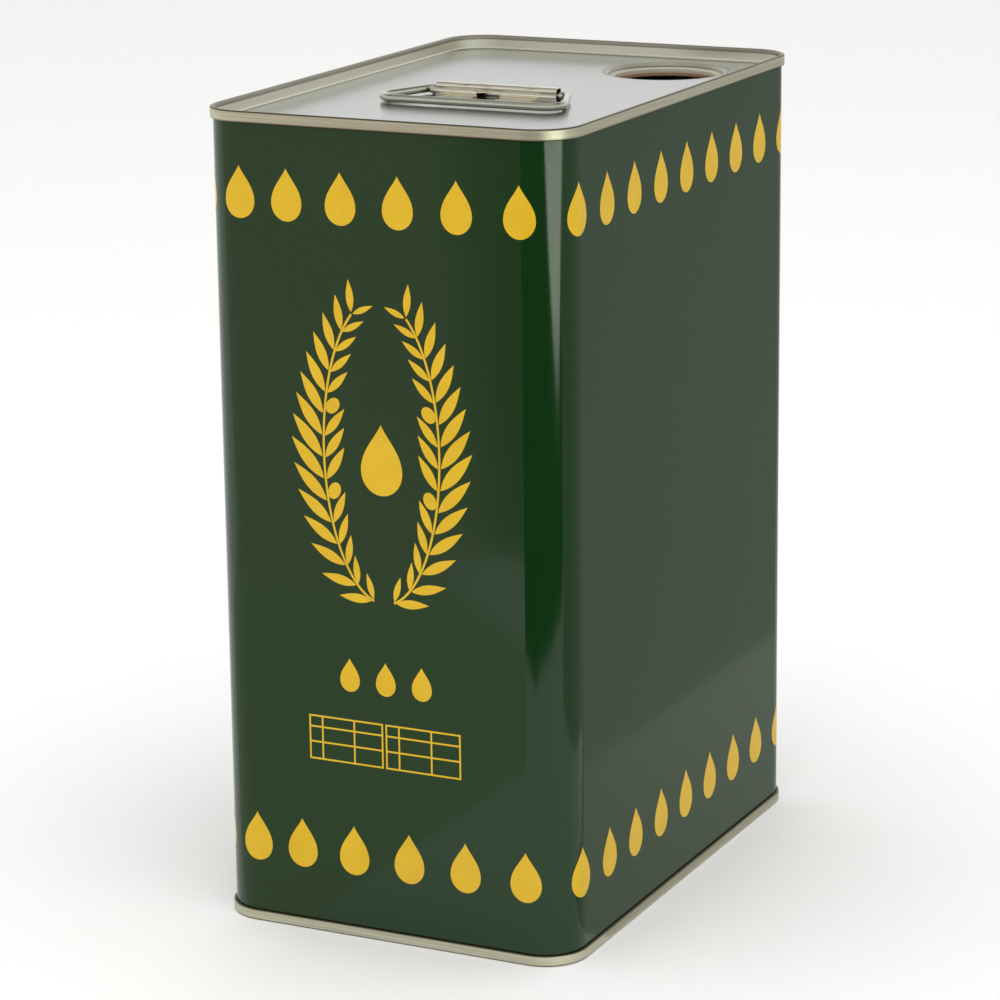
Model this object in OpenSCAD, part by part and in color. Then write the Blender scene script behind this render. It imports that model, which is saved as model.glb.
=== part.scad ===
// Oblong five litre tin for oil: a welded body sheet, two double seamed ends,
// an open drawn mouth in a corner of the top end, and a wire bail held by a
// pressed saddle. Millimetres, +Z up, the origin at the middle of the footprint.
// The narrow front looks along -Y. The bail lies on the top end towards it.

/* [Tin] */
// Width over the seams, across the narrow front
tin_w = 119; // [100:1:180]
// Depth over the seams, from front to back
tin_d = 178; // [150:1:280]
// Height over the seams
tin_h = 250; // [60:1:400]
// Radius of the upright corners, on the outside of the seams
corner_r = 13.5; // [6:0.5:20]
// Depth of each end panel inside its seam
end_depth = 4.5; // [4.2:0.1:10]

/* [Plate and seams] */
// Thickness of the body sheet and of both ends
plate_t = 0.25; // [0.18:0.01:0.32]
// Height of each double seam
seam_h = 3.4; // [2.8:0.1:4]
// Space that is left between two layers of plate in a seam
seam_film = 0.03; // [0.01:0.01:0.06]
// Space between the end of a hook and the bend that it points at
hook_gap = 0.75; // [0.3:0.05:0.9]
// Inside radius of the tightest bends in a seam
seam_bend = 0.03; // [0.01:0.01:0.07]
// Radius where an end panel turns up into its wall, at the middle of the plate
panel_bend = 0.8; // [0.3:0.1:1.5]
// Width of the welded lap that runs down the back of the body
weld_w = 1.2; // [0.6:0.1:3]
// Extra thickness of the welded lap
weld_rise = 0.1; // [0.05:0.01:0.2]

/* [Mouth] */
// Bore of the drawn mouth, which takes a push-in spout or cap
mouth_d = 32; // [20:0.5:42]
// Distance from the mouth's middle to the right side of the tin
mouth_from_side = 33.3; // [29:0.1:40]
// Distance from the mouth's middle to the back of the tin
mouth_from_back = 29.1; // [27:0.1:45]
// Width of the pressed slope round the mouth
mouth_slope_w = 2; // [1.2:0.1:3]
// Width of the ledge between the slope and the bore
mouth_ledge_w = 2; // [1.2:0.1:3]
// Depth of the ledge below the panel
mouth_ledge_depth = 1.1; // [0.6:0.1:1.6]
// Depth of the mouth's free edge below the panel
mouth_depth = 3.7; // [3:0.1:8]

/* [Handle] */
// Diameter of the bail wire
wire_d = 2.4; // [1.6:0.1:2.6]
// Length of the front bar, between the middles of the arms as if not rounded
bail_w = 64.4; // [56:0.2:76]
// Distance from each end of the saddle to the corner where the arm starts
bail_root_gap = 3; // [2.6:0.1:4]
// Distance from the pivot to the front bar
bail_reach = 22.8; // [16:0.2:34]
// Bend radius at the ends of the front bar, at the middle of the wire
bail_bend = 5.5; // [3:0.1:7]
// Bend radius where the arms turn into the saddle
bail_root_bend = 2.6; // [2:0.1:3]
// How much thinner the wire is where it has been bent
bend_thinning = 0.02; // [0.01:0.01:0.1]
// Length of wire inside each end of the saddle
pin_l = 11; // [6:0.5:18]
// Space between the resting wire and the panel
wire_gap = 0.4; // [0.2:0.05:0.6]
// Distance of the handle to the right of the middle
handle_x = 1.2; // [-4:0.1:4]
// Distance of the pivot in front of the middle
handle_y = 9.8; // [0:0.1:30]
// Length of the saddle
saddle_l = 40.4; // [34:0.2:42]
// Thickness of the saddle's plate
saddle_t = 0.25; // [0.2:0.01:0.35]
// Height of the saddle over the panel
saddle_h = 3.9; // [3.6:0.1:4.2]
// Space between the wire and the saddle's upright back
saddle_play = 0.28; // [0.15:0.01:0.5]
// Radius of the two rolls along the saddle's front, at the middle of the plate
roll_r = 1; // [0.8:0.05:1.1]
// How far the rolls stand in front of the arch
roll_bulge = 0.4; // [0.2:0.05:0.6]
// Length of each tongue at the saddle's foot, along the handle
tongue_l = 12.4; // [6:0.2:13]
// How far the tongues reach in front of the arch and behind it
tongue_reach = 3.3; // [2:0.1:5]
// Width of the open window between the front tongues
window_w = 7.6; // [4:0.2:9]
// Height of the window
window_h = 1.15; // [0.8:0.05:1.4]
// Distance of the window to the left of the saddle's middle
window_shift = 2.6; // [0:0.1:3]
// Length of each of the two slots in the saddle's top
slot_l = 3; // [1:0.2:6]
// Distance of each slot from the saddle's middle
slot_from_middle = 11.3; // [6:0.1:14]

/* [Hidden] */
$fn = 96;

arc_steps = 6;
plate_green = "#34402f";
bare_tin = "#b9b2a2";
bright_tin = "#d0d2d2";
wire_steel = "#c9c8bd";
compound_grey = "#8c8c88";

// The layers of a seam stand one pitch apart, outwards from the body sheet
layer = plate_t + seam_film;
body_mid = -plate_t / 2;
wall_mid = body_mid - layer;
cover_hook_mid = body_mid + layer;
body_hook_mid = body_mid + 2 * layer;
seam_mid = body_mid + 3 * layer;
seam_stand = seam_mid + plate_t / 2;
body_bend = plate_t / 2 + seam_bend;
cover_bend = body_bend + layer;

body_w = tin_w - 2 * seam_stand;
body_d = tin_d - 2 * seam_stand;
body_r = corner_r - seam_stand;
panel_edge = wall_mid - panel_bend;
panel_lap = 1;
panel_z = tin_h - end_depth;
// Height of the cover hook's end, below the top of the seam
hook_end = -2 * plate_t - seam_film - hook_gap;

mouth_r = mouth_d / 2;
mouth_x = tin_w / 2 - mouth_from_side;
mouth_y = tin_d / 2 - mouth_from_back;
ledge_r = mouth_r + mouth_ledge_w;
slope_r = ledge_r + mouth_slope_w;
ledge_bend = 0.4;
slope_bend = 0.6;

pivot_y = -handle_y;
pivot_h = wire_gap + wire_d / 2;
bend_lap = 2;
arch_half = wire_d / 2 + saddle_play + saddle_t / 2;
fold_r = 0.2;
// Directions, in degrees, at which the low roll starts and the two rolls meet
roll_start = 215;
roll_meet = 125;
low_roll = [roll_r - arch_half - roll_bulge, saddle_t / 2 + roll_r];
top_roll = [roll_r - arch_half - roll_bulge / 2, saddle_h - saddle_t / 2 - roll_r];
back_roll = [arch_half - roll_r, saddle_h - saddle_t / 2 - roll_r];
slot_w = 0.7;

// Points along an arc, from one angle to the other
function arc(c, r, from, to) =
    [for (i = [0:arc_steps]) c + r * [cos(from + (to - from) * i / arc_steps),
                                      sin(from + (to - from) * i / arc_steps)]];

function unit(v) = v / norm(v);

// Direction across a path at one of its points, lengthened at bends
function across(path, i) =
    let (n = len(path) - 1)
    let (a = i > 0 ? unit(path[i] - path[i - 1]) : unit(path[1] - path[0]))
    let (b = i < n ? unit(path[i + 1] - path[i]) : unit(path[n] - path[n - 1]))
    let (m = unit(a + b))
    [-m.y, m.x] / (m * a);

// Outline of a sheet of thickness t whose middle follows a path
function sheet(path, t) =
    concat([for (i = [0:len(path) - 1]) path[i] + across(path, i) * t / 2],
           [for (i = [len(path) - 1:-1:0]) path[i] - across(path, i) * t / 2]);

// The end's path runs from its panel up the wall, over the seam and round to the cover hook
function end_path() =
    concat([[panel_edge - panel_lap, -end_depth - plate_t / 2]],
           arc([panel_edge, panel_bend - end_depth - plate_t / 2], panel_bend, -90, 0),
           arc([wall_mid + cover_bend, -plate_t / 2 - cover_bend], cover_bend, 180, 90),
           arc([seam_mid - cover_bend, -plate_t / 2 - cover_bend], cover_bend, 90, 0),
           arc([body_hook_mid, plate_t / 2 + layer - seam_h], layer, 0, -180),
           [[cover_hook_mid, hook_end]]);

// The turned over edge of the body sheet, from the wall to the end of the body hook
function hook_path() =
    concat(arc([body_mid + body_bend, -plate_t / 2 - layer - body_bend], body_bend, 180, 90),
           arc([body_hook_mid - body_bend, -plate_t / 2 - layer - body_bend], body_bend, 90, 0),
           [[body_hook_mid, plate_t + hook_gap - seam_h]]);

function raised(path, z) = [for (p = path) [p.x, p.y + z]];
function upside_down(path) = [for (i = [len(path) - 1:-1:0]) [path[i].x, -path[i].y]];

// Rounded rectangle that lies a distance outside the body sheet
module outline(out) {
    w = body_w + 2 * out;
    d = body_d + 2 * out;
    r = body_r + out;
    square([w - 2 * r, d], center = true);
    square([w, d - 2 * r], center = true);
    for (x = [-1, 1], y = [-1, 1])
        translate([x * (w / 2 - r), y * (d / 2 - r)])
            circle(r);
}

// Carries a section round the tin: x is the distance outside the body sheet
module round_the_tin() {
    flat_w = body_w - 2 * body_r;
    flat_d = body_d - 2 * body_r;
    for (side = [0:3]) {
        along = side % 2 == 0 ? flat_d : flat_w;
        half = side % 2 == 0 ? flat_w / 2 : flat_d / 2;
        rotate([0, 0, side * 90]) {
            translate([half, along / 2, 0])
                rotate([90, 0, 0])
                    linear_extrude(along)
                        translate([body_r, 0])
                            children();
            translate([half, along / 2, 0])
                rotate_extrude(angle = 90)
                    translate([body_r, 0])
                        children();
        }
    }
}

// One end, seen the right way up, with its seam's highest point at z = 0
module end_sheet() {
    round_the_tin()
        polygon(sheet(end_path(), plate_t));
    translate([0, 0, -end_depth - plate_t])
        linear_extrude(plate_t)
            outline(panel_edge - panel_lap);
}

// Sealing compound above the cover hook, inside the bend of the body sheet
module compound_ring() {
    space = hook_gap - 2 * seam_film - seam_bend;
    round_the_tin()
        translate([seam_film / 2, hook_end + seam_film])
            square([layer, space]);
}

module body_shell() {
    hook = hook_path();
    wall = concat(upside_down(hook), raised(hook, tin_h));
    color(plate_green) {
        round_the_tin()
            polygon(sheet(wall, plate_t));
        translate([-weld_w / 2, body_d / 2 - plate_t / 2, seam_h + hook_gap])
            cube([weld_w, plate_t / 2 + weld_rise, tin_h - 2 * seam_h - 2 * hook_gap]);
    }
}

module top_end() {
    color(bright_tin)
        translate([0, 0, tin_h]) {
            difference() {
                end_sheet();
                translate([mouth_x, mouth_y, -end_depth - 2 * plate_t])
                    cylinder(r = slope_r, h = 4 * plate_t);
            }
            translate([mouth_x, mouth_y, -end_depth])
                mouth();
        }
}

// The drawn mouth: a slope down to a ledge, and a collar with a free lower edge
module mouth() {
    mid = -plate_t / 2;
    drop = mid - mouth_ledge_depth;
    collar = mouth_r + plate_t / 2;
    lean = atan2(mouth_ledge_depth, mouth_slope_w);
    path = concat([[slope_r, mid]],
                  arc([slope_r - slope_bend / 2, mid - slope_bend], slope_bend, 90, 90 + lean),
                  arc([ledge_r - slope_bend / 2, drop + slope_bend], slope_bend, lean - 90, -90),
                  arc([collar + ledge_bend, drop - ledge_bend], ledge_bend, 90, 180),
                  [[collar, -mouth_depth]]);
    rotate_extrude()
        polygon(sheet(path, plate_t));
}

module bottom_end() {
    color(bare_tin)
        mirror([0, 0, 1])
            end_sheet();
}

module top_seam_compound() {
    color(compound_grey)
        translate([0, 0, tin_h])
            compound_ring();
}

module bottom_seam_compound() {
    color(compound_grey)
        mirror([0, 0, 1])
            compound_ring();
}

// Middle of the front fold, placed so that its end runs straight into the low roll
function front_fold() =
    let (start = low_roll + roll_r * [cos(roll_start), sin(roll_start)])
    let (lean = roll_start - 90)
    let (top = saddle_t / 2 + fold_r + fold_r * sin(lean - 90))
    let (run = (start.y - top) / sin(lean))
    [start.x - run * cos(lean) - fold_r * cos(lean - 90), saddle_t / 2 + fold_r];

function back_fold() = [arch_half + fold_r, saddle_t / 2 + fold_r];

// The saddle's section from the front edge to the back edge, over the wire
function saddle_path() =
    concat([[front_fold().x - tongue_reach, saddle_t / 2]],
           arc(front_fold(), fold_r, -90, roll_start - 180),
           arc(low_roll, roll_r, roll_start, roll_meet),
           arc(top_roll, roll_r, roll_start, 90),
           arc(back_roll, roll_r, 90, 0),
           arc(back_fold(), fold_r, 180, 270),
           [[back_fold().x + tongue_reach, saddle_t / 2]]);

module handle_saddle() {
    color(bare_tin)
        translate([handle_x, pivot_y, panel_z])
            difference() {
                translate([-saddle_l / 2, 0, 0])
                    rotate([90, 0, 90])
                        linear_extrude(saddle_l)
                            polygon(sheet(saddle_path(), saddle_t));
                saddle_cuts();
            }
}

// Cut away from the saddle: its foot beside the tongues, the window and two slots
module saddle_cuts() {
    low = -saddle_t;
    foot = saddle_t + fold_r / 2 - low;
    reach = tongue_reach + saddle_t;
    left_end = -window_shift - window_w / 2 - tongue_l;
    right_end = -window_shift + window_w / 2 + tongue_l;
    for (y = [front_fold().x - reach, back_fold().x]) {
        translate([-saddle_l, y, low])
            cube([saddle_l + left_end, reach, foot]);
        translate([-window_shift - window_w / 2, y, low])
            cube([window_w, reach, foot]);
        translate([right_end, y, low])
            cube([saddle_l, reach, foot]);
    }
    translate([-window_shift - window_w / 2, front_fold().x - reach, low])
        cube([window_w, reach - front_fold().x - arch_half / 2, window_h - low]);
    for (side = [-1, 1])
        translate([side * slot_from_middle - slot_l / 2, back_roll.x - slot_w / 2, saddle_h - 2 * saddle_t])
            cube([slot_l, slot_w, 3 * saddle_t]);
}

// Round wire along a path in the plane, with a bend at each inner point
module wire(path, bends, d) {
    n = len(path) - 1;
    turn = [for (i = [1:n - 1])
        let (a = path[i] - path[i - 1])
        let (b = path[i + 1] - path[i])
        atan2(a.x * b.y - a.y * b.x, a * b)];
    trim = [for (i = [0:n]) i == 0 || i == n ? 0 : bends[i - 1] * tan(abs(turn[i - 1]) / 2)];
    for (i = [0:n - 1]) {
        v = unit(path[i + 1] - path[i]);
        start = path[i] + v * trim[i];
        translate([start.x, start.y, 0])
            rotate([0, 90, atan2(v.y, v.x)])
                cylinder(d = d, h = norm(path[i + 1] - path[i]) - trim[i] - trim[i + 1]);
        if (i < n - 1)
            wire_bend(path[i + 1] - v * trim[i + 1], v, turn[i], bends[i], d);
    }
}

// One bend of the wire, from the point where it starts and the direction there.
// It is drawn a little thinner and runs a little way into the straight wire.
module wire_bend(start, v, turn, r, d) {
    side = sign(turn);
    centre = start + side * r * [-v.y, v.x];
    from = atan2(-side * v.x, side * v.y);
    translate([centre.x, centre.y, 0])
        rotate([0, 0, min(from, from + turn) - bend_lap])
            rotate_extrude(angle = abs(turn) + 2 * bend_lap)
                translate([r, 0])
                    circle(d = d - bend_thinning);
}

module handle_bail() {
    root = saddle_l / 2 + bail_root_gap;
    inner = saddle_l / 2 - pin_l;
    path = [[-inner, 0], [-root, 0], [-bail_w / 2, -bail_reach],
            [bail_w / 2, -bail_reach], [root, 0], [inner, 0]];
    color(wire_steel)
        translate([handle_x, pivot_y, panel_z + pivot_h])
            wire(path, [bail_root_bend, bail_bend, bail_bend, bail_root_bend], wire_d);
}

body_shell();
top_end();
bottom_end();
top_seam_compound();
bottom_seam_compound();
handle_saddle();
handle_bail();
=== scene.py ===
import math

import bmesh
import bpy
from mathutils import Matrix, Vector


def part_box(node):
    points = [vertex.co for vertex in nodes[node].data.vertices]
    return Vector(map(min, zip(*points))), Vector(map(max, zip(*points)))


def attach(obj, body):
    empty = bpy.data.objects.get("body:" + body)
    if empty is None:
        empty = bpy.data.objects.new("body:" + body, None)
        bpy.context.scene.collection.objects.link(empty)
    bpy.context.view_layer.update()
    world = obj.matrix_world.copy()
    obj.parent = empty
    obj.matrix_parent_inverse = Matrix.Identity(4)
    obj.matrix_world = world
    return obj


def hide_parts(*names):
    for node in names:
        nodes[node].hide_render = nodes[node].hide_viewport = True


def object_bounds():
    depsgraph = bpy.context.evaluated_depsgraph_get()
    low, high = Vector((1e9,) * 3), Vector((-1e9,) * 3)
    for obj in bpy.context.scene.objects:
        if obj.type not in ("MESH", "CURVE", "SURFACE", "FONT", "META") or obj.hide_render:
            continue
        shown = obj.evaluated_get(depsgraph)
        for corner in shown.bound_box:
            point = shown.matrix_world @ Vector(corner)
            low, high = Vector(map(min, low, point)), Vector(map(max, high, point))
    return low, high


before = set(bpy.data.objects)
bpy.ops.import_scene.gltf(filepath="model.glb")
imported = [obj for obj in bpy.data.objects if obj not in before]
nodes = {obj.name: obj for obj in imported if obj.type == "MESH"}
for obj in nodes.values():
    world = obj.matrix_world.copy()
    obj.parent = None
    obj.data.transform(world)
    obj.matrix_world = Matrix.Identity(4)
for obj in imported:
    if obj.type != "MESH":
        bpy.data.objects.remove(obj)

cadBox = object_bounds()
mm = 0.001
tinLow, tinHigh = cadBox
tinHeight = tinHigh.z - tinLow.z


class Signal:
    # one socket of a node tree; Python's operators on it add Math nodes
    def __init__(self, board, socket):
        self.board = board
        self.socket = socket

    def maths(self, operation, *operands):
        return self.board.node("ShaderNodeMath", {"operation": operation}, dict(enumerate(operands)))

    def __add__(self, other):
        return self.maths("ADD", self, other)

    def __radd__(self, other):
        return self.maths("ADD", other, self)

    def __sub__(self, other):
        return self.maths("SUBTRACT", self, other)

    def __rsub__(self, other):
        return self.maths("SUBTRACT", other, self)

    def __mul__(self, other):
        return self.maths("MULTIPLY", self, other)

    def __rmul__(self, other):
        return self.maths("MULTIPLY", other, self)

    def __truediv__(self, other):
        return self.maths("DIVIDE", self, other)

    def __lt__(self, other):
        return self.maths("LESS_THAN", self, other)

    def __gt__(self, other):
        return self.maths("GREATER_THAN", self, other)

    def __abs__(self):
        return self.maths("ABSOLUTE", self)

    def root(self):
        return self.maths("SQRT", self)

    def atLeast(self, other):
        return self.maths("MAXIMUM", self, other)

    def atMost(self, other):
        return self.maths("MINIMUM", self, other)

    def output(self, name):
        return Signal(self.board, self.socket.node.outputs[name])

    def ramp(self, low, high):  # 0 below low, 1 above high, smooth between
        return self.board.node("ShaderNodeMapRange", {"interpolation_type": "SMOOTHSTEP"},
                               {"Value": self, "From Min": low, "From Max": high})


class Board:
    # a node tree and the one method that adds nodes to it
    def __init__(self, tree):
        self.tree = tree
        tree.nodes.clear()

    def node(self, kind, settings=None, values=None):
        made = self.tree.nodes.new(kind)
        for name, value in (settings or {}).items():
            setattr(made, name, value)
        inputs = [s for s in made.inputs if s.enabled]
        for key, value in (values or {}).items():
            socket = inputs[key] if isinstance(key, int) else next(s for s in inputs if s.name == key)
            for one in value if isinstance(value, list) else [value]:
                if isinstance(one, Signal):
                    self.tree.links.new(one.socket, socket)
                else:
                    socket.default_value = one
        shown = [s for s in made.outputs if s.enabled]
        return Signal(self, shown[0]) if shown else made

    def mixColour(self, factor, first, second):
        return self.node("ShaderNodeMix", {"data_type": "RGBA"}, {"Factor": factor, "A": first, "B": second})

    def split(self, vector):
        parts = self.node("ShaderNodeSeparateXYZ", None, {"Vector": vector})
        return [parts.output(axis) for axis in "XYZ"]

    def join(self, x, y, z):
        return self.node("ShaderNodeCombineXYZ", None, {"X": x, "Y": y, "Z": z})

    def noise(self, vector, scale, detail=3, roughness=0.5):
        return self.node("ShaderNodeTexNoise", None,
                         {"Vector": vector, "Scale": scale, "Detail": detail, "Roughness": roughness})


def colour(red, green, blue):  # from the 0 to 255 values that a picture shows
    def linear(value):
        value /= 255
        return value / 12.92 if value <= 0.04045 else ((value + 0.055) / 1.055) ** 2.4
    return (linear(red), linear(green), linear(blue), 1)


def newMaterial(name, paint):
    material = bpy.data.materials.new(name)
    material.use_nodes = True
    board = Board(material.node_tree)
    surface = paint(board)
    board.node("ShaderNodeOutputMaterial", None, {"Surface": surface})
    return material


def dress(nodeName, material):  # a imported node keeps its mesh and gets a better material
    for slot in nodes[nodeName].material_slots:
        slot.material = material


view = {
    "yaw": 0.4545,         # radians to the right of the narrow front
    "pitch": 0.2564,       # radians above the floor
    "roll": 0.0117,
    "lens": 133.27,        # mm, on a 36 mm wide sensor
    "right": 0.0164,       # place of the tin's middle before the camera, in tin heights
    "down": -0.0324,
    "forward": 4.6528,
}


def makeCamera():
    yaw, pitch, roll = view["yaw"], view["pitch"], view["roll"]
    forward = Vector((-math.sin(yaw) * math.cos(pitch), math.cos(yaw) * math.cos(pitch), -math.sin(pitch)))
    level = Vector((math.cos(yaw), math.sin(yaw), 0))
    under = forward.cross(level)
    right = level * math.cos(roll) + under * math.sin(roll)
    down = under * math.cos(roll) - level * math.sin(roll)
    middle = Vector((0, 0, tinHeight / 2))
    offset = (right * view["right"] + down * view["down"] + forward * view["forward"]) * tinHeight
    data = bpy.data.cameras.new("camera")
    data.lens = view["lens"]
    data.sensor_width = 36
    data.clip_start = 0.05
    data.clip_end = 50
    camera = bpy.data.objects.new("camera", data)
    bpy.context.scene.collection.objects.link(camera)
    camera.matrix_world = Matrix.Translation(middle - offset) @ Matrix(
        [right, -down, -forward]).transposed().to_4x4()
    bpy.context.scene.camera = camera


makeCamera()
print("camera placed")


body = {
    "width": tinHigh.x - tinLow.x,
    "depth": tinHigh.y - tinLow.y,
    "cornerRadius": 12.66 * mm,
    "seamStand": 0.84 * mm,      # how far the seams stand out from the sheet
    "seamHeight": 3.4 * mm,
    "sheet": 0.25 * mm,
    "endDepth": 4.5 * mm,        # of the end panels inside their seams
    "weldMargin": 3.6 * mm,      # bare strip on each side of the weld
}


def outside(board, x, y):  # distance outside the upright face of the seams, less than 0 inside
    radius = body["cornerRadius"] + body["seamStand"]
    overX = abs(x) - (body["width"] / 2 - radius)
    overY = abs(y) - (body["depth"] / 2 - radius)
    pastX, pastY = overX.atLeast(0), overY.atLeast(0)
    inner = board.node("ShaderNodeMath", {"operation": "MAXIMUM"}, {0: overX, 1: overY}).atMost(0)
    return (pastX * pastX + pastY * pastY).root() + inner - radius


studio = {
    "floorRadius": 9,
    "floorTone": 0.86,
    "skyStrength": 1.0,
    "domeRadius": 4,
    "domeFoot": 20,            # degrees above the floor where the room overhead starts
    "ceiling": 0.55,           # tone of the room overhead, as the gloss sees it
    "darkWall": 0.22,          # tone of the dark wall above and behind the pale backdrop
    "wallFoot": (0.72, 0.77),  # shares of the dome's radius between which it starts
    "wallHead": (0.86, 0.92),  # and ends
    "lampPlace": (0.2, -0.4, 1.8),
    "lampSize": 1.6,
    "lampPower": 12,
}

mirrored = {   # floor tones that only the gloss sees: colour, tone at the first and last corner, corners
    "tableByLeft": ((1, 0.80, 0.76), 0.86, 0.86, [(-0.155, -0.44), (-0.9, -1.9), (-3, -1.9), (-3, -0.6),
                                                  (-0.45, -0.33)]),
    "tableByFront": ((1, 0.96, 0.80), 0.78, 0.78, [(-0.45, -0.33), (-0.155, -0.44), (-0.092, -0.376),
                                                   (-0.03, -0.362), (-0.03, -0.092), (-0.4, -0.092)]),
    "roomByFront": ((1, 0.80, 0.72), 0.80, 0.30, [(-0.175, -0.48), (-0.9, -1.9), (-0.60, -1.95), (-0.10, -0.455),
                                                  (-0.144, -0.496)]),
    "roomByCorner": ((1, 1, 1), 0.02, 0.02, [(-0.10, -0.455), (-0.07, -0.39), (0.05, -0.36), (0.14, -0.37),
                                             (0.22, -0.345), (0.30, -0.30), (0.365, -0.25), (0.40, -0.19),
                                             (0.494, -0.166), (1.62, -0.35), (1.7, -1.95), (-0.60, -1.95)]),
    "roomBySide": ((1, 1, 0.95), 0.50, 0.50, [(0.30, -0.14), (0.494, -0.166), (1.62, -0.35), (2.2, 1.9), (0.97, 1.9),
                                              (0.70, 1.27), (0.56, 0.92), (0.37, 0.47), (0.26, 0.24), (0.19, 0.10)]),
    "roomByRight": ((1, 1, 0.97), 0.42, 0.38, [(0.13, 0.0), (0.19, 0.10), (0.26, 0.24), (0.37, 0.47), (0.56, 0.92),
                                               (0.70, 1.27), (0.97, 1.9), (0.97, 2.2), (0.13, 2.2)]),
    "tableByRight": ((1, 1, 0.92), 0.44, 0.60, [(0.0, -0.06), (0.13, -0.06), (0.13, 2.2), (0.06, 2.2), (0.06, 0.25)]),
}
window = {
    "azimuth": 60,             # degrees from the front, as seen from the near corner
    "distance": 0.75,
    "strength": 5.4,
    "fade": (-0.03, 0.06),     # heights between which it brightens
    "blind": (0.125, 0.15),    # heights between which a blind dims it
    "blindShare": 0.3,
    "outline": [(0.06, 0.001), (-0.066, 0.035), (-0.2, 0.074), (-0.334, 0.123), (-0.42, 0.36),
                (0.42, 0.36), (0.382, 0.123), (0.258, 0.074), (0.2, 0.035), (0.15, 0.001)],
}


def meshObject(name, points, faces):
    data = bpy.data.meshes.new(name)
    data.from_pydata([tuple(p) for p in points], [], faces)
    made = bpy.data.objects.new(name, data)
    bpy.context.scene.collection.objects.link(made)
    return made


def bake(piece):  # the evaluated result becomes the piece's own plain mesh
    evaluated = piece.evaluated_get(bpy.context.evaluated_depsgraph_get())
    mesh = bpy.data.meshes.new_from_object(evaluated)
    piece.modifiers.clear()
    piece.data = mesh
    return piece


def floorPaint(board):
    spot = board.node("ShaderNodeTexCoord").output("Object")
    grain = board.noise(spot, 60, 4)
    tone = studio["floorTone"]
    shade = board.mixColour(grain, (tone, tone, tone * 0.995, 1), (tone * 1.02, tone * 1.02, tone * 1.02, 1))
    return board.node("ShaderNodeBsdfPrincipled", None,
                      {"Base Color": shade, "Roughness": 0.7, "Specular IOR Level": 0.15})


def makeFloor():
    steps = 96
    radius = studio["floorRadius"]
    rim = [(radius * math.cos(2 * math.pi * i / steps), radius * math.sin(2 * math.pi * i / steps), 0)
           for i in range(steps)]
    floor = meshObject("floor", rim, [list(range(steps))])
    floor.data.materials.append(newMaterial("paleFloor", floorPaint))


def makeWorld():
    world = bpy.data.worlds.new("studio")
    bpy.context.scene.world = world
    world.use_nodes = True
    board = Board(world.node_tree)
    glow = board.node("ShaderNodeBackground", None,
                      {"Color": (1, 1, 0.99, 1), "Strength": studio["skyStrength"]})
    board.node("ShaderNodeOutputWorld", None, {"Surface": glow})


def makeLamp():
    data = bpy.data.lights.new("overhead", "AREA")
    data.shape = "SQUARE"
    data.size = studio["lampSize"]
    data.energy = studio["lampPower"]
    lamp = bpy.data.objects.new("overhead", data)
    bpy.context.scene.collection.objects.link(lamp)
    place = Vector(studio["lampPlace"])
    lamp.location = place
    lamp.rotation_euler = (-place).to_track_quat("-Z", "Y").to_euler()   # looks at the middle of the footprint
    lamp.visible_camera = False
    lamp.visible_glossy = False


def glossOnly(piece):
    piece.visible_camera = piece.visible_diffuse = piece.visible_shadow = piece.visible_transmission = False


def cardPaint(tint, tones, corners):
    start = Vector((*corners[0], 0))
    run = Vector((*corners[-1], 0)) - start

    def paint(board):
        spot = board.node("ShaderNodeTexCoord").output("Object")
        along = board.node("ShaderNodeVectorMath", {"operation": "DOT_PRODUCT"}, {
            0: board.node("ShaderNodeVectorMath", {"operation": "SUBTRACT"}, {0: spot, 1: start}),
            1: run / run.length_squared}).output("Value")
        tone = along.ramp(0, 1) * (tones[1] - tones[0]) + tones[0]
        return board.node("ShaderNodeEmission", None, {"Color": (*tint, 1), "Strength": tone})
    return paint


def windowPaint(board):
    height = board.split(board.node("ShaderNodeTexCoord").output("Object"))[2]
    dimmed = 1 - height.ramp(*window["blind"]) * (1 - window["blindShare"])
    glow = height.ramp(*window["fade"]) * dimmed * window["strength"]
    return board.node("ShaderNodeEmission", None, {"Color": (0.94, 1, 0.86, 1), "Strength": glow})


def makeWindow():
    turn = math.radians(window["azimuth"])
    outward = Vector((math.sin(turn), -math.cos(turn), 0))
    aside = Vector((math.cos(turn), math.sin(turn), 0))
    corner = Vector((tinHigh.x - body["cornerRadius"], tinLow.y + body["cornerRadius"], 0))
    middle = corner + outward * window["distance"]
    pane = meshObject("tallWindow", [middle + aside * out + Vector((0, 0, up)) for out, up in window["outline"]],
                      [list(range(len(window["outline"])))])
    pane.data.materials.append(newMaterial("windowGlow", windowPaint))
    glossOnly(pane)


def domePaint(board):
    x, y, z = board.split(board.node("ShaderNodeTexCoord").output("Object"))
    climb = z / studio["domeRadius"]
    away = (y * math.cos(view["yaw"]) - x * math.sin(view["yaw"])) / studio["domeRadius"]
    wall = climb.ramp(*studio["wallFoot"]) * (1 - climb.ramp(*studio["wallHead"])) * away.ramp(-0.15, 0.15)
    foot = math.sin(math.radians(studio["domeFoot"]))
    room = 1 - climb.ramp(foot, 0.6) * (1 - studio["ceiling"])
    glow = room * (1 - wall * (1 - studio["darkWall"]))
    return board.node("ShaderNodeEmission", None, {"Color": (1, 1, 0.97, 1), "Strength": glow})


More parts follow.
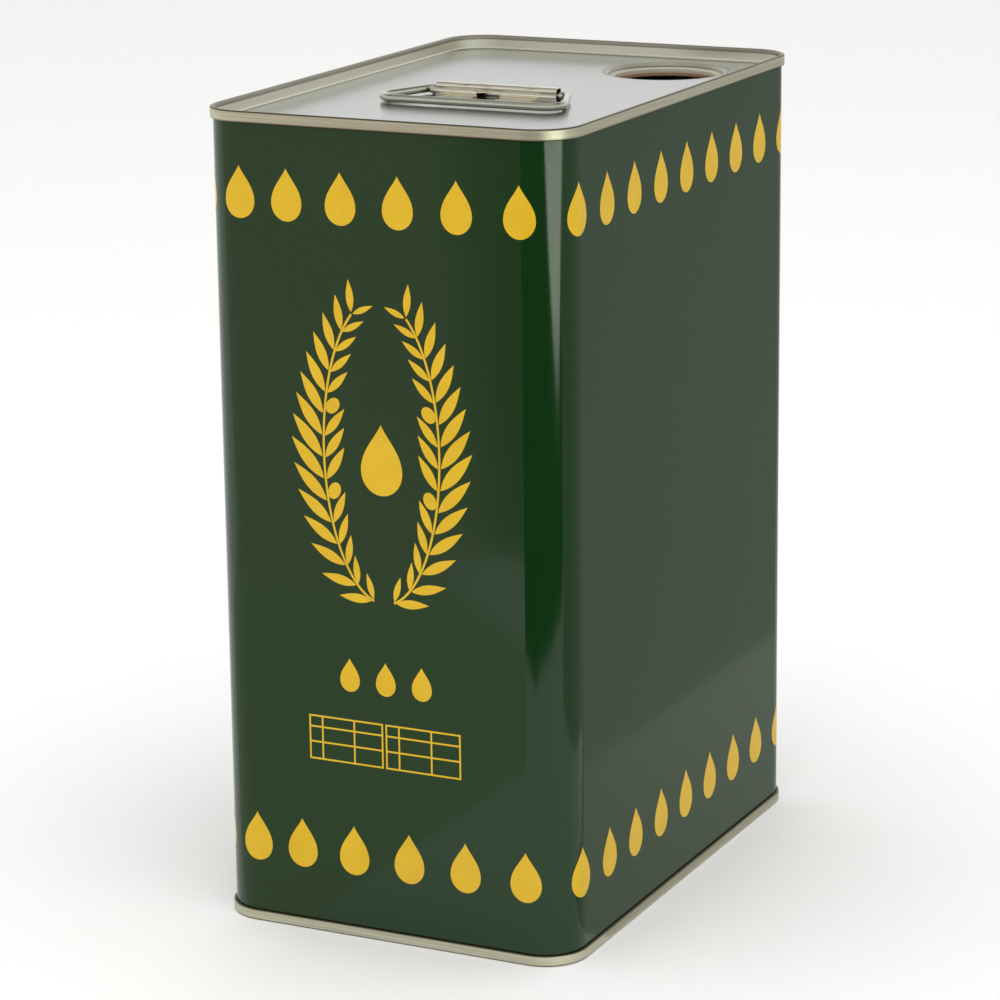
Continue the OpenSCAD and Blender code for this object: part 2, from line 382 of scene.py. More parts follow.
def makeDome():
    rings, slices, radius = 12, 48, studio["domeRadius"]
    points, faces = [], []
    for ring in range(rings):
        climb = math.radians(studio["domeFoot"] + (90 - studio["domeFoot"]) * ring / rings)
        for piece in range(slices):
            turn = 2 * math.pi * piece / slices
            points.append((radius * math.cos(climb) * math.cos(turn), radius * math.cos(climb) * math.sin(turn),
                           radius * math.sin(climb)))
    points.append((0, 0, radius))
    for ring in range(rings):
        for piece in range(slices):
            low, nextLow = ring * slices + piece, ring * slices + (piece + 1) % slices
            if ring < rings - 1:
                faces.append((low, nextLow, nextLow + slices, low + slices))
            else:
                faces.append((low, nextLow, len(points) - 1))
    dome = meshObject("roomAbove", points, faces)
    dome.data.shade_smooth()
    dome.data.materials.append(newMaterial("roomAbove", domePaint))
    glossOnly(dome)


makeFloor()
makeWorld()
for cardName, (tint, first, last, corners) in mirrored.items():
    card = meshObject(cardName, [(x, y, 0.001) for x, y in corners], [list(range(len(corners)))])
    card.data.materials.append(newMaterial(cardName, cardPaint(tint, (first, last), corners)))
    glossOnly(card)
makeWindow()
makeDome()
makeLamp()
bpy.context.scene.view_settings.view_transform = "Standard"
print("stage built")


def lacquerPaint(board):
    spot = board.node("ShaderNodeTexCoord").output("Object")
    x, y, z = board.split(spot)
    out = outside(board, x, y)
    base = board.mixColour(board.noise(spot, 14, 2), colour(13, 46, 15), colour(16, 50, 18))
    # painted shade: the lacquer is painted darker in a thin band beside each seam, where the seam casts its shadow
    shadeBySeam = (tinHigh.z - z).atMost(z) - body["seamHeight"]
    base = board.mixColour(shadeBySeam.ramp(0.35 * mm, 0), base, colour(16, 20, 10))
    peel = board.noise(spot, 700, 2)
    scuffs = board.noise(board.join(x * 6, y * 6, z), 240, 5, 0.7)
    bump = board.node("ShaderNodeBump", None, {"Strength": 0.025, "Distance": 0.0002, "Height": peel})
    rough = board.noise(spot, 40, 4) * 0.03 + scuffs.ramp(0.62, 0.8) * 0.12 + 0.075
    lacquer = board.node("ShaderNodeBsdfPrincipled", None,
                         {"Base Color": base, "Roughness": rough, "IOR": 1.42, "Normal": bump})
    fromWeld = abs(x)
    grain = board.noise(board.join(x * 20, y, z), 160, 4)
    tinTone = board.mixColour(grain, colour(176, 172, 160), colour(204, 200, 188))
    tinTone = board.mixColour(fromWeld.ramp(1.6 * mm, 0.5 * mm), tinTone, colour(112, 104, 98))
    ripple = board.node("ShaderNodeMath", {"operation": "SINE"}, {0: z * (2 * math.pi / 0.0011)})
    nuggets = board.node("ShaderNodeBump", None, {
        "Strength": 0.5, "Distance": 0.00006, "Height": ripple * fromWeld.ramp(0.8 * mm, 0.4 * mm) + grain})
    tin = board.node("ShaderNodeBsdfPrincipled", None,
                     {"Base Color": tinTone, "Metallic": 1.0, "Roughness": grain * 0.1 + 0.24, "Normal": nuggets})
    atWeld = (fromWeld + board.noise(spot, 300, 3) * 0.0004 < body["weldMargin"]) * (y > 0)
    inside = out < -(body["seamStand"] + body["sheet"] * 0.5)
    bare = board.node("ShaderNodeMath", {"operation": "MAXIMUM"}, {0: atWeld, 1: inside})
    return board.node("ShaderNodeMixShader", None, {0: bare, 1: lacquer, 2: tin})


dress("body_shell", newMaterial("greenLacquer", lacquerPaint))


mouth = {
    "middle": (26.2 * mm, 59.9 * mm),
    "bore": 16 * mm,
    "ledgeDepth": 1.1 * mm,      # below the panel
    "collarEnd": 3.7 * mm,
    "slopeEnd": 4.0 * mm,        # from the bore to the panel
}


def brightPaint(board):
    spot = board.node("ShaderNodeTexCoord").output("Object")
    x, y, z = board.split(spot)
    out = outside(board, x, y)
    inSeam = out.ramp(-1.9 * mm, -1.2 * mm)
    grain = board.noise(board.join(x * 3, y * 60, z * 60), 12, 4)
    streaks = board.noise(board.join(x * 30, y * 30, (z + out) * 2400), 1, 4, 0.6)
    fromEnd = (tinHigh.z - z).atMost(z)   # depth below the nearer end of the tin
    panel = board.mixColour(grain, colour(172, 175, 175), colour(180, 183, 182))
    # painted light and shade: the wall inside a seam is painted pale and the roll above it darker, in place of the
    # light and shade they catch
    paintedLitWall = board.mixColour(streaks, colour(216, 214, 198), colour(230, 228, 213))
    dullAndShade = board.mixColour(streaks, colour(150, 145, 132), colour(176, 171, 158))
    wall = board.mixColour(fromEnd.ramp(1.3 * mm, 1.0 * mm), paintedLitWall, dullAndShade)
    # painted shade: a dark line is painted between the pale wall and the darker roll
    line = fromEnd.ramp(1.0 * mm, 1.2 * mm) * fromEnd.ramp(1.55 * mm, 1.3 * mm)
    wall = board.mixColour(line * 0.7, wall, colour(104, 98, 82))
    flank = board.mixColour(streaks.ramp(0.25, 0.75), colour(178, 176, 153), colour(205, 202, 181))
    base = board.mixColour(out.ramp(-1.9 * mm, -1.5 * mm), panel, wall)
    base = board.mixColour(out.ramp(-1.2 * mm, -0.5 * mm), base, flank)
    # painted shade: both edges of the roll are painted dark grey-brown, where the roll turns away from the light
    edge = fromEnd.atMost(abs(body["seamHeight"] - fromEnd))
    base = board.mixColour(edge.ramp(0.6 * mm, 0.15 * mm) * out.ramp(-0.9 * mm, -0.3 * mm), base, colour(96, 90, 70))
    # painted highlight and reflection: the drawn collar is painted near-white over its bend, in place of its
    # highlight, and brown further down, in place of what its inner wall reflects
    fromMouth = board.node("ShaderNodeVectorMath", {"operation": "LENGTH"}, {0: board.join(
        x - mouth["middle"][0], y - mouth["middle"][1], 0)}).output("Value")
    sink = tinHigh.z - body["endDepth"] - z
    isTop = z > tinHeight / 2
    collar = fromMouth.ramp(mouth["bore"] + 0.75 * mm, mouth["bore"] + 0.35 * mm) * isTop
    brown = sink.ramp(mouth["ledgeDepth"] + 0.9 * mm, mouth["collarEnd"] - 0.6 * mm)
    lip = board.mixColour(brown, colour(246, 240, 224), colour(150, 116, 84))
    base = board.mixColour(collar, base, lip)
    fromSlope = fromMouth - mouth["bore"] - mouth["slopeEnd"]
    slope = fromSlope.ramp(0.2 * mm, -0.3 * mm) * (1 - collar) * isTop
    base = board.mixColour(slope, base, colour(214, 212, 198))
    # painted shade: the two bends of the slope are painted dark, in place of the dark reflection they show
    fromBend = abs(abs(fromSlope + 1.0 * mm) - 0.95 * mm)
    base = board.mixColour(fromBend.ramp(0.45 * mm, 0.1 * mm) * isTop * 0.6, base, colour(112, 104, 80))
    rough = grain * 0.04 + 0.19 + inSeam * (streaks * 0.06 + 0.16) + collar * 0.42 + slope * 0.26
    bump = board.node("ShaderNodeBump", None, {"Strength": 0.05, "Distance": 0.0001, "Height": grain})
    return board.node("ShaderNodeBsdfPrincipled", None,
                      {"Base Color": base, "Metallic": 1 - collar * brown * 0.8, "Roughness": rough, "Normal": bump})


dress("top_end", newMaterial("brightPlate", brightPaint))
dress("bottom_end", nodes["top_end"].material_slots[0].material)


def wirePaint(board):
    spot = board.node("ShaderNodeTexCoord").output("Object")
    grain = board.noise(spot, 500, 3)
    base = board.mixColour(grain, colour(186, 188, 173), colour(203, 204, 191))
    return board.node("ShaderNodeBsdfPrincipled", None,
                      {"Base Color": base, "Metallic": 1.0, "Roughness": grain * 0.08 + 0.16})


saddle = {
    "middle": (1.2 * mm, -9.8 * mm),
    "length": 40.4 * mm,
    "sheet": 0.25 * mm,
    "height": 3.9 * mm,
    "wireRoom": 1.48 * mm,       # from the pivot to the inside of the upright back
    "rollRadius": 1.0 * mm,
    "rollBulge": 0.4 * mm,
    "foldRadius": 0.2 * mm,
    "tongue": (12.4 * mm, 3.3 * mm),    # length along the handle, reach
    "window": (7.6 * mm, 1.15 * mm),    # width, height
    "windowShift": 2.6 * mm,
    "slot": (3.0 * mm, 0.7 * mm),
    "slotFromMiddle": 11.3 * mm,
    "lip": 1.7 * mm,             # how far the loose corner at the left end curls out
}


def smooth(value, low, high):
    share = min(max((value - low) / (high - low), 0), 1)
    return share * share * (3 - 2 * share)


def saddleSection():  # points from the front edge to the back edge, and the names of the runs between them
    sheet, roll, fold = saddle["sheet"], saddle["rollRadius"], saddle["foldRadius"]
    archHalf = saddle["wireRoom"] + sheet / 2
    low = (roll - archHalf - saddle["rollBulge"], sheet / 2 + roll)
    top = (roll - archHalf - saddle["rollBulge"] / 2, saddle["height"] - sheet / 2 - roll)
    back = (archHalf - roll, top[1])
    rollStart, rollMeet = math.radians(215), math.radians(125)
    startY, startZ = low[0] + roll * math.cos(rollStart), low[1] + roll * math.sin(rollStart)
    foldEnd = rollStart - math.pi
    foldTop = sheet / 2 + fold + fold * math.sin(foldEnd)
    run = (startZ - foldTop) / math.sin(rollStart - math.pi / 2)
    front = (startY - run * math.cos(rollStart - math.pi / 2) - fold * math.cos(foldEnd), sheet / 2 + fold)
    rear = (archHalf + fold, sheet / 2 + fold)
    section = [("foot", front[0] - saddle["tongue"][1], sheet / 2)]

    def arc(run, middle, radius, angles):
        section.extend((run, middle[0] + radius * math.cos(a), middle[1] + radius * math.sin(a)) for a in angles)

    def steps(first, last, count):
        return [first + (last - first) * i / count for i in range(count + 1)]

    windowAngle = math.pi - math.asin((saddle["window"][1] - low[1]) / roll)
    slotAngle = math.acos(saddle["slot"][1] / 2 / roll)
    arc("foot", front, fold, [-math.pi / 2])
    arc("fold", front, fold, steps(-math.pi / 2, foldEnd, 4)[1:])
    arc("belly", low, roll, steps(rollStart, windowAngle, 4))
    arc("low", low, roll, steps(windowAngle, rollMeet, 6)[1:])
    arc("top", top, roll, steps(rollStart, math.pi / 2, 12))
    section.append(("top", back[0] - saddle["slot"][1] / 2, top[1] + roll))
    arc("slot", back, roll, [math.pi / 2, slotAngle])
    arc("back", back, roll, steps(slotAngle, 0, 6)[1:])
    arc("back", rear, fold, steps(math.pi, math.pi * 1.5, 4))
    section.append(("heel", rear[0] + saddle["tongue"][1], sheet / 2))
    return section


def makeSaddle():
    half = saddle["length"] / 2
    windowHalf, shift = saddle["window"][0] / 2, saddle["windowShift"]
    cuts = [-half, half]
    for side in (-1, 1):
        cuts += [side * windowHalf - shift, side * (windowHalf + saddle["tongue"][0]) - shift]
        cuts += [side * saddle["slotFromMiddle"] + end * saddle["slot"][0] / 2 for end in (-1, 1)]
    cuts.sort()
    stations = []
    for start, end in zip(cuts, cuts[1:]):
        count = max(1, round((end - start) / (0.55 * mm)))
        stations += [start + (end - start) * i / count for i in range(count)]
    stations.append(half)
    section = saddleSection()

    def placed(x, run, y, z):
        curl = smooth(-x, half - 2.4 * mm, half) if run in ("fold", "belly", "low") else 0
        curl *= 1 - smooth(z, 1.4 * mm, 2.0 * mm)
        torn = max(0, 1 - ((x + shift) / (windowHalf + 1.2 * mm)) ** 2) if run in ("belly", "low") else 0
        torn *= 1 - smooth(z, 1.2 * mm, 2.1 * mm)
        dent = math.exp(-((abs(x) - saddle["slotFromMiddle"]) / (1.6 * mm)) ** 2) if z > 3 * mm else 0
        wave = 0.035 * mm * math.sin(x / (3.1 * mm)) if run in ("belly", "low", "top") else 0
        return (saddle["middle"][0] + x - curl * saddle["lip"],
                saddle["middle"][1] + y - curl * 0.45 * mm - torn * 0.32 * mm + wave,
                panelZ + z + curl * 0.22 * mm + torn * 0.30 * mm - dent * 0.10 * mm)

    points = [placed(x, *place) for x in stations for place in section]
    faces = []
    rows = len(section)
    for i, (start, end) in enumerate(zip(stations, stations[1:])):
        x = (start + end) / 2
        onTongue = windowHalf < abs(x + shift) < windowHalf + saddle["tongue"][0]
        inWindow = abs(x + shift) < windowHalf
        inSlot = abs(abs(x) - saddle["slotFromMiddle"]) < saddle["slot"][0] / 2
        for j in range(rows - 1):
            run = section[j + 1][0]
            if run in ("foot", "heel") and not onTongue:
                continue
            if (run in ("fold", "belly") and inWindow) or (run == "slot" and inSlot):
                continue
            faces.append((i * rows + j, i * rows + j + 1, (i + 1) * rows + j + 1, (i + 1) * rows + j))
    piece = meshObject("saddlePlate", points, faces)
    thicken = piece.modifiers.new("plate", "SOLIDIFY")
    thicken.thickness = saddle["sheet"]
    thicken.offset = 0
    thicken.use_even_offset = True
    bake(piece)
    shell = bmesh.new()
    shell.from_mesh(piece.data)
    for vertex in shell.verts:
        vertex.co.z = max(vertex.co.z, panelZ)
    bmesh.ops.delete(shell, geom=[v for v in shell.verts if not v.link_faces], context="VERTS")
    bmesh.ops.recalc_face_normals(shell, faces=shell.faces)
    shell.to_mesh(piece.data)
    shell.free()
    piece.data.shade_smooth()
    piece.data.set_sharp_from_angle(angle=math.radians(40))
    return piece


def saddlePaint(board):
    spot = board.node("ShaderNodeTexCoord").output("Object")
    x, y, z = board.split(spot)
    grain = board.noise(board.join(x, y * 8, z * 8), 260, 4)
    base = board.mixColour(grain, colour(222, 216, 198), colour(236, 231, 215))
    dullAndShade = board.noise(spot, 160, 3).ramp(0.5, 0.72)
    base = board.mixColour(dullAndShade * 0.4, base, colour(168, 160, 140))
    fromTongue = abs(abs(x - (saddle["middle"][0] - saddle["windowShift"])) - 10 * mm) - 3 * mm
    fromRow = abs(y - saddle["middle"][1]) - 3.9 * mm
    spotWeld = (fromTongue * fromTongue + fromRow * fromRow).root()
    press = spotWeld.ramp(0.45 * mm, 0.85 * mm)
    bump = board.node("ShaderNodeBump", None, {
        "Strength": 0.6, "Distance": 0.0001, "Height": press + grain * 0.12})
    return board.node("ShaderNodeBsdfPrincipled", None,
                      {"Base Color": base, "Metallic": 1.0, "Roughness": grain * 0.08 + dullAndShade * 0.1 + 0.15,
                       "Normal": bump})


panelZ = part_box("handle_saddle")[0].z
dress("handle_bail", newMaterial("tinnedWire", wirePaint))
dress("handle_saddle", newMaterial("barePlate", saddlePaint))
saddlePiece = makeSaddle()
saddlePiece.data.materials.clear()
saddlePiece.data.materials.append(nodes["handle_saddle"].material_slots[0].material)
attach(saddlePiece, "tin")
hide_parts("handle_saddle")


def compoundPaint(board):
    spot = board.node("ShaderNodeTexCoord").output("Object")
    base = board.mixColour(board.noise(spot, 400, 3), colour(150, 150, 146), colour(172, 172, 166))
    return board.node("ShaderNodeBsdfPrincipled", None, {"Base Color": base, "Roughness": 0.8})


sealing = newMaterial("sealingCompound", compoundPaint)
dress("top_seam_compound", sealing)
dress("bottom_seam_compound", sealing)
print("packed nodes dressed")


def newTree(name, inputs):  # inputs: name to socket type
    tree = bpy.data.node_groups.new(name, "GeometryNodeTree")
    board = Board(tree)
    for label, kind in inputs.items():
        tree.interface.new_socket(name=label, in_out="INPUT", socket_type=kind)
    tree.interface.new_socket(name="Geometry", in_out="OUTPUT", socket_type="NodeSocketGeometry")
    entry = tree.nodes.new("NodeGroupInput")
    return board, {label: Signal(board, entry.outputs[label]) for label in inputs}


def closeTree(board, geometry, material):
    whole = board.node("GeometryNodeRealizeInstances", None, {"Geometry": geometry})
    painted = board.node("GeometryNodeSetMaterial", None, {"Geometry": whole, "Material": material})
    board.node("NodeGroupOutput", None, {"Geometry": painted})


def addModifier(piece, board, values):
    modifier = piece.modifiers.new(board.tree.name, "NODES")
    modifier.node_group = board.tree
    for item in board.tree.interface.items_tree:
        if item.in_out == "INPUT" and item.name in values:
            modifier[item.identifier] = values[item.name]


def bodyOutline():  # runs round the body from the middle of the front, towards the right
    radius = body["cornerRadius"]
    halfW = tinHigh.x - body["seamStand"]
    halfD = tinHigh.y - body["seamStand"]
    steps = 48
    points = [(0, -halfD)]
    for turn, (x, y) in enumerate([(1, -1), (1, 1), (-1, 1), (-1, -1)]):
        for step in range(steps + 1):
            angle = math.pi / 2 * (turn - 1 + step / steps)
            points.append((x * (halfW - radius) + radius * math.cos(angle),
                           y * (halfD - radius) + radius * math.sin(angle)))
    points.append((0, -halfD))
    data = bpy.data.curves.new("bodyOutline", "CURVE")
    data.dimensions = "3D"
    spline = data.splines.new("POLY")
    spline.points.add(len(points) - 1)
    for point, (x, y) in zip(spline.points, points):
        point.co = (x, y, 0, 1)
    outline = bpy.data.objects.new("bodyOutline", data)
    bpy.context.scene.collection.objects.link(outline)
    return outline


def wrapTree():  # lays a flat pattern, drawn in the XY plane, on the tin as a thin film
    board, given = newTree("wrapPrint", {
        "Geometry": "NodeSocketGeometry", "Path": "NodeSocketObject", "Film": "NodeSocketFloat",
        "Sink": "NodeSocketFloat", "Ink": "NodeSocketMaterial"})
    flat = given["Geometry"]
    raised = board.node("GeometryNodeExtrudeMesh", None, {
        "Mesh": flat, "Offset": board.join(0, 0, 1), "Offset Scale": given["Film"], "Individual": False})
    under = board.node("GeometryNodeFlipFaces", None, {"Mesh": flat})
    film = board.node("GeometryNodeMergeByDistance", None, {
        "Geometry": board.node("GeometryNodeJoinGeometry", None, {"Geometry": [raised, under]}),
        "Distance": 0.000001})
    x, y, z = board.split(board.node("GeometryNodeInputPosition"))
    path = board.node("GeometryNodeObjectInfo", None, {"Object": given["Path"]}).output("Geometry")
    around = board.node("GeometryNodeCurveLength", None, {"Curve": path})
    sample = board.node("GeometryNodeSampleCurve", {"mode": "LENGTH"}, {
        "Curves": path, "Length": board.node("ShaderNodeMath", {"operation": "FLOORED_MODULO"}, {0: x, 1: around})})
    outward = board.node("ShaderNodeVectorMath", {"operation": "CROSS_PRODUCT"},
                         {0: sample.output("Tangent"), 1: (0, 0, 1)})
    lift = board.node("ShaderNodeVectorMath", {"operation": "SCALE"},
                      {"Vector": outward, "Scale": z - given["Sink"]})
    place = board.node("ShaderNodeVectorMath", {"operation": "ADD"}, {
        0: board.node("ShaderNodeVectorMath", {"operation": "ADD"}, {0: sample.output("Position"), 1: lift}),
        1: board.join(0, 0, y)})
    wrapped = board.node("GeometryNodeSetPosition", None, {"Geometry": film, "Position": place})
    closeTree(board, wrapped, given["Ink"])
    return board


drops = {   # middles along the outline, from the front's middle towards the right
    "front": [-45.1, -29.5, -11.8, 6.8, 25.6, 45.4],
    "pitch": 19.4,             # past the front, on both sides
    "toRight": 64.8,           # first middle past the front
    "toLeft": -60.7,
    "sideCount": 9,
    "backCount": 3,
    "weldRoom": 273.0,         # how far along the last drop before the bare weld strip stands
    "width": 10.0 * mm,
    "height": 15.6 * mm,
    "widest": 0.34,            # share of its height
    "topRow": 218.4 * mm,      # height of a drop's lowest point
    "bottomRow": 19.5 * mm,
    "inWreath": (13.6 * mm, 21.4 * mm, 139 * mm),   # width, height, height of its lowest point
    "small": (6.6 * mm, 10.4 * mm, 77.5 * mm),
    "smallMiddles": (-12, 0, 12),
}


def dropPlaces(height):
    places = list(drops["front"])
    for first, sign in ((drops["toRight"], 1), (drops["toLeft"], -1)):
        side = [first + sign * drops["pitch"] * i for i in range(drops["sideCount"])]
        backPitch = (sign * drops["weldRoom"] - side[-1]) / drops["backCount"]
        places += side + [side[-1] + backPitch * (i + 1) for i in range(drops["backCount"])]
    return [(along * mm, height, 0) for along in places]


def flatPoints(name, points):
    data = bpy.data.meshes.new(name)
    data.from_pydata(points, [], [])
    return data


def dropTree():  # a drop on each point of the mesh, flat in the XY plane
    board, given = newTree("dropRow", {
        "Geometry": "NodeSocketGeometry", "Width": "NodeSocketFloat", "Height": "NodeSocketFloat",
        "Widest": "NodeSocketFloat", "Ink": "NodeSocketMaterial"})
    grid = board.node("GeometryNodeMeshGrid", None, {"Size X": 1, "Size Y": 1, "Vertices X": 13, "Vertices Y": 37})
    x, y, z = board.split(board.node("GeometryNodeInputPosition"))
    share = (y + 0.5) * 2                 # 0 at the round foot, 1 at the widest place, 2 at the tip
    foot = share.atMost(1) * (math.pi / 2)
    sine = board.node("ShaderNodeMath", {"operation": "SINE"}, {0: foot})
    cosine = board.node("ShaderNodeMath", {"operation": "COSINE"}, {0: foot})
    rise = (share - 1).atLeast(0)
    fall = 1 - rise
    isUpper = share > 1
    widest = given["Widest"]
    side = fall * fall * fall + fall * fall * rise * 3 + fall * rise * rise * 0.9
    climb = fall * fall * fall * widest + fall * fall * rise * 1.86 + fall * rise * rise * 2.4 + rise * rise * rise
    halfWidth = sine * (1 - isUpper) + side * isUpper
    height = (1 - cosine) * widest * (1 - isUpper) + climb * isUpper
    shaped = board.node("GeometryNodeSetPosition", None, {
        "Geometry": grid,
        "Position": board.join(x * given["Width"] * halfWidth, height * given["Height"], 0)})
    drop = board.node("GeometryNodeMergeByDistance", None, {"Geometry": shaped, "Distance": 0.00001})
    copies = board.node("GeometryNodeInstanceOnPoints", None, {"Points": given["Geometry"], "Instance": drop})
    closeTree(board, copies, given["Ink"])
    return board


wreath = {
    "foot": 106 * mm,          # lowest and highest point of the ellipse that the stems follow
    "head": 198 * mm,
    "halfWidth": 19 * mm,
    "stem": 0.7 * mm,
    "leafPairs": 15,           # on each stem
    "leafLength": 15.5 * mm,
    "leafWidth": 3.9 * mm,
    "leafTurn": 36,            # degrees from the stem
    "leafGap": 1.0 * mm,
    "innerCut": 0.26,          # how much smaller the leaves on the inside are
    "swing": (-80, 62),        # degrees round the stems' ellipse, from foot to head
    "olives": (7, 2),          # knot in the middle between the two, and how far they are from it
    "olive": (4.0 * mm, 5.4 * mm),
}


def stemCurve():  # two stems that part at the foot and bend towards each other at the head
    data = bpy.data.curves.new("wreathStems", "CURVE")
    data.dimensions = "3D"
    steps = 48
    middle, half = (wreath["foot"] + wreath["head"]) / 2, (wreath["head"] - wreath["foot"]) / 2
    first, last = wreath["swing"]
    for side in (-1, 1):
        spline = data.splines.new("POLY")
        spline.points.add(steps)
        for step, point in enumerate(spline.points):
            turn = math.radians(first + (last - first) * step / steps)
            point.co = (side * wreath["halfWidth"] * math.cos(turn), middle + half * math.sin(turn), 0, 1)
    stems = bpy.data.objects.new("wreathStems", data)
    bpy.context.scene.collection.objects.link(stems)
    return stems


def wreathTree():
    board, given = newTree("oliveWreath", {
        "Stems": "NodeSocketObject", "Stem": "NodeSocketFloat", "Pairs": "NodeSocketInt",
        "Leaf Length": "NodeSocketFloat", "Leaf Width": "NodeSocketFloat", "Leaf Gap": "NodeSocketFloat",
        "Leaf Turn": "NodeSocketFloat", "Inner Cut": "NodeSocketFloat",
        "Olive Width": "NodeSocketFloat", "Olive Height": "NodeSocketFloat",
        "Ink": "NodeSocketMaterial"})
    stems = board.node("GeometryNodeObjectInfo", None, {"Object": given["Stems"]}).output("Geometry")
    upright = board.node("GeometryNodeSetCurveNormal", {"mode": "Z_UP"}, {"Curve": stems})
    across = board.node("GeometryNodeCurvePrimitiveLine", None, {
        "Start": board.join(given["Stem"] / -2, 0, 0), "End": board.join(given["Stem"] / 2, 0, 0)})
    ribbon = board.node("GeometryNodeCurveToMesh", None, {"Curve": upright, "Profile Curve": across})

    grid = board.node("GeometryNodeMeshGrid", None, {"Size X": 1, "Size Y": 1, "Vertices X": 3, "Vertices Y": 15})
    x, y, z = board.split(board.node("GeometryNodeInputPosition"))
    share = (y + 0.5).atLeast(0).atMost(1)
    belly = board.node("ShaderNodeMath", {"operation": "SINE"}, {0: share.maths("POWER", share, 0.85) * math.pi})
    leaf = board.node("GeometryNodeMergeByDistance", None, {"Distance": 0.00001, "Geometry": board.node(
        "GeometryNodeSetPosition", None, {"Geometry": grid, "Position": board.join(
            x * given["Leaf Width"] * belly, share * given["Leaf Length"] + given["Leaf Gap"], 0)})})
    disc = board.node("GeometryNodeMeshCircle", {"fill_type": "NGON"}, {"Vertices": 28, "Radius": 0.5})
    olive = board.node("GeometryNodeTransform", None, {
        "Geometry": disc, "Scale": board.join(given["Olive Width"], given["Olive Height"], 1),
        "Translation": board.join(0, given["Leaf Gap"] + given["Olive Height"] * 0.62, 0)})

    line = board.node("GeometryNodeResampleCurve", None, {"Curve": stems, "Count": given["Pairs"]})
    tangent = board.node("GeometryNodeInputTangent")
    along = board.node("FunctionNodeAlignRotationToVector", {"axis": "Y", "pivot_axis": "Z"}, {"Vector": tangent})
    factor = board.node("GeometryNodeSplineParameter").output("Factor")
    size = 1.04 - abs(factor - 0.45) * 0.75     # the leaves are largest just below the middle
    number = board.node("GeometryNodeSplineParameter").output("Index")
    between, away = wreath["olives"]
    fruits = abs(abs(number - between) - away) < 0.1
    sprays = [ribbon]
    for side in (-1, 1):
        turned = board.node("FunctionNodeRotateRotation", {"rotation_space": "LOCAL"}, {
            "Rotation": along, "Rotate By": board.node("FunctionNodeEulerToRotation", None, {
                "Euler": board.join(0, 0, given["Leaf Turn"] * side)})})
        isInner = board.node("ShaderNodeMath", {"operation": "COMPARE"}, {
            0: board.node("ShaderNodeMath", {"operation": "SIGN"}, {
                0: board.split(board.node("GeometryNodeInputPosition"))[0]}), 1: side, 2: 0.1})
        here = fruits * isInner
        leaves = board.node("GeometryNodeInstanceOnPoints", None, {
            "Points": line, "Instance": leaf, "Selection": 1 - here, "Rotation": turned,
            "Scale": size * (1 - isInner * given["Inner Cut"])})
        olives = board.node("GeometryNodeInstanceOnPoints", None, {
            "Points": line, "Instance": olive, "Selection": here, "Rotation": turned})
        sprays += [leaves, olives]
    closeTree(board, board.node("GeometryNodeJoinGeometry", None, {"Geometry": sprays}), given["Ink"])
    return board


panels = {   # two plain ruled frames: left edge and width, common height, and where their rules stand
    "lefts": (-26.2 * mm, -0.4 * mm),
    "width": 25.0 * mm,
    "foot": 54.8 * mm,
    "height": 14.0 * mm,
    "rule": 0.55 * mm,
    "uprights": (0.17, 0.60),
    "levels": (0.38, 0.72),
}


def ruledFrame(name):
    def breaks(start, length, shares):
        lines = [start] + [start + length * share for share in shares] + [start + length - panels["rule"]]
        return [place for line in lines for place in (line, line + panels["rule"])]
    rows = breaks(panels["foot"], panels["height"], panels["levels"])
    points, faces = [], []
    for left in panels["lefts"]:
        columns = breaks(left, panels["width"], panels["uprights"])
        first = len(points)
        points += [(x, y, 0) for x in columns for y in rows]
        for i in range(len(columns) - 1):
            for j in range(len(rows) - 1):
                if i % 2 == 0 or j % 2 == 0:
                    corner = first + i * len(rows) + j
                    faces.append((corner, corner + len(rows), corner + len(rows) + 1, corner + 1))
    data = bpy.data.meshes.new(name)
    data.from_pydata(points, [], faces)
    return data


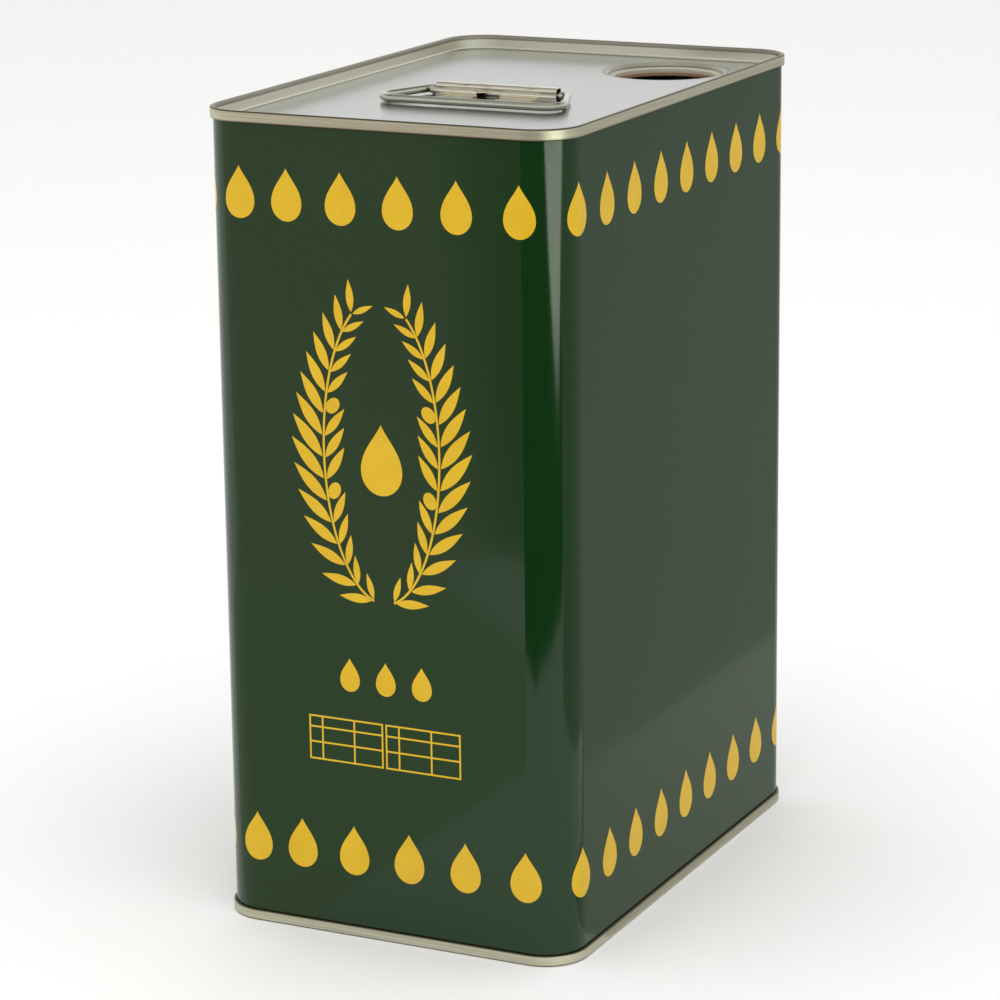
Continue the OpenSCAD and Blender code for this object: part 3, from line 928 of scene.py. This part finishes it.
def inkPaint(board):
    spot = board.node("ShaderNodeTexCoord").output("Object")
    base = board.mixColour(board.noise(spot, 120, 3), colour(206, 164, 22), colour(222, 182, 34))
    peel = board.noise(spot, 900, 2)
    bump = board.node("ShaderNodeBump", None, {"Strength": 0.03, "Distance": 0.0002, "Height": peel})
    rough = board.noise(spot, 40, 4) * 0.06 + 0.14
    return board.node("ShaderNodeBsdfPrincipled", None,
                      {"Base Color": base, "Roughness": rough, "IOR": 1.42, "Normal": bump})


film = {"thickness": 0.04 * mm, "sink": 0.02 * mm}
goldInk = newMaterial("goldInk", inkPaint)
outlinePath = bodyOutline()
stems = stemCurve()
wrap, dropRow, oliveWreath = wrapTree(), dropTree(), wreathTree()


def printed(name, flat, pattern=None, values=None):
    piece = bpy.data.objects.new(name, flat)
    bpy.context.scene.collection.objects.link(piece)
    if pattern:
        addModifier(piece, pattern, {**values, "Ink": goldInk})
    addModifier(piece, wrap, {"Path": outlinePath, "Film": film["thickness"], "Sink": film["sink"], "Ink": goldInk})
    bake(piece)
    piece.data.shade_smooth()
    piece.data.set_sharp_from_angle(angle=math.radians(30))
    piece.data.materials.clear()
    piece.data.materials.append(goldInk)
    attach(piece, "tin")
    return piece


def printDrops(name, width, height, places):
    printed(name, flatPoints(name, places), dropRow, {"Width": width, "Height": height, "Widest": drops["widest"]})


for rowName, rowHeight in (("dropsTop", drops["topRow"]), ("dropsBottom", drops["bottomRow"])):
    printDrops(rowName, drops["width"], drops["height"], dropPlaces(rowHeight))
dropWidth, dropHeight, lowest = drops["inWreath"]
printDrops("dropInWreath", dropWidth, dropHeight, [(0, lowest, 0)])
dropWidth, dropHeight, lowest = drops["small"]
printDrops("dropsSmall", dropWidth, dropHeight, [(x * mm, lowest, 0) for x in drops["smallMiddles"]])
printed("oliveWreath", flatPoints("oliveWreath", []), oliveWreath, {
    "Stems": stems, "Stem": wreath["stem"], "Pairs": wreath["leafPairs"], "Leaf Length": wreath["leafLength"],
    "Leaf Width": wreath["leafWidth"], "Leaf Gap": wreath["leafGap"], "Leaf Turn": math.radians(wreath["leafTurn"]),
    "Inner Cut": wreath["innerCut"], "Olive Width": wreath["olive"][0],
    "Olive Height": wreath["olive"][1]})
printed("ruledPanels", ruledFrame("ruledPanels"))
bpy.data.objects.remove(outlinePath)
bpy.data.objects.remove(stems)
print("print laid on the body")
